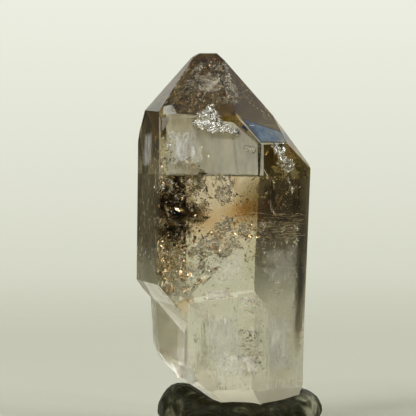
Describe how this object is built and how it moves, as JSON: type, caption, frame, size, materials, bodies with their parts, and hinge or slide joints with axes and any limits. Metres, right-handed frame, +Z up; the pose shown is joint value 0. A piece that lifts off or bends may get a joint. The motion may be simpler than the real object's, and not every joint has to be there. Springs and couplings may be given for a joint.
{
  "type": "smoky quartz scepter",
  "caption": "Smoky quartz scepter crystal with a wide pointed head over a pale stem, standing upright in a lump of dark mounting putty",
  "frame": {"origin": "Centre of the whole object's box, on the flat underside of the putty.", "axes": "+Z up along the crystal, -Y towards the viewer of the picture, +X to the viewer's right."},
  "size_m": [0.032, 0.0292, 0.0647],
  "materials": {
    "quartz": "polished",
    "putty": "satin"
  },
  "bodies": {
    "root": {"quartz_scepter": "quartz", "mounting_putty": "putty"}
  },
  "joints": []
}
